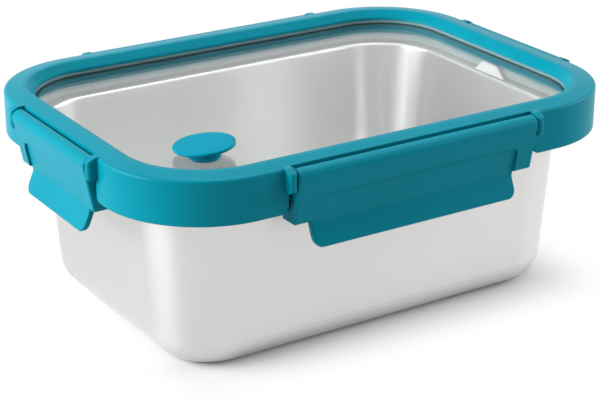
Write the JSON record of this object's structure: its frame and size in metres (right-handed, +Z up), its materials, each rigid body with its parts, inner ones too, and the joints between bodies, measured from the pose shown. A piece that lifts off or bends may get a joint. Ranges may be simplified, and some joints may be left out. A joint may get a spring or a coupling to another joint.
{
  "type": "lunch box",
  "caption": "Rectangular stainless steel lunch box with a teal snap lid, a glass window, hinged side latches and a vent plug.",
  "frame": {"origin": "centre of the overall box, on the surface the tub stands on", "axes": "+X along the length to the right, +Y to the rear, +Z up"},
  "size_m": [0.2178, 0.1628, 0.0826],
  "materials": {
    "steel": "satin",
    "teal_plastic": "satin",
    "glass": "gloss",
    "gasket_silicone": "matte",
    "seal_silicone": "matte",
    "vent_silicone": "matte"
  },
  "bodies": {
    "tub": {"steel_tub": "steel"},
    "lid": {"lid_frame": "teal_plastic", "lid_window": "glass", "window_gasket": "gasket_silicone", "window_retainer": "teal_plastic", "lid_seal": "seal_silicone"},
    "vent": {"vent_plug": "vent_silicone"},
    "front_latch": {"front_latch": "teal_plastic"},
    "rear_latch": {"rear_latch": "teal_plastic"},
    "left_latch": {"left_latch": "teal_plastic"},
    "right_latch": {"right_latch": "teal_plastic"}
  },
  "joints": [
    {"name": "lid_lift", "type": "slide", "parent": "tub", "child": "lid", "axis": [0, 0, 1], "range_m": [0, 0.06]},
    {"name": "front_latch_hinge", "type": "hinge", "parent": "lid", "child": "front_latch", "pos_m": [0, -0.0781, 0.0794], "axis": [-1, 0, 0], "range_deg": [0, 100]},
    {"name": "rear_latch_hinge", "type": "hinge", "parent": "lid", "child": "rear_latch", "pos_m": [0, 0.0781, 0.0794], "axis": [1, 0, 0], "range_deg": [0, 100]},
    {"name": "left_latch_hinge", "type": "hinge", "parent": "lid", "child": "left_latch", "pos_m": [-0.1056, 0, 0.0794], "axis": [0, 1, 0], "range_deg": [0, 100]},
    {"name": "right_latch_hinge", "type": "hinge", "parent": "lid", "child": "right_latch", "pos_m": [0.1056, 0, 0.0794], "axis": [0, -1, 0], "range_deg": [0, 100]},
    {"name": "vent_lift", "type": "slide", "parent": "lid", "child": "vent", "axis": [0, 0, 1], "range_m": [0, 0.003]}
  ]
}
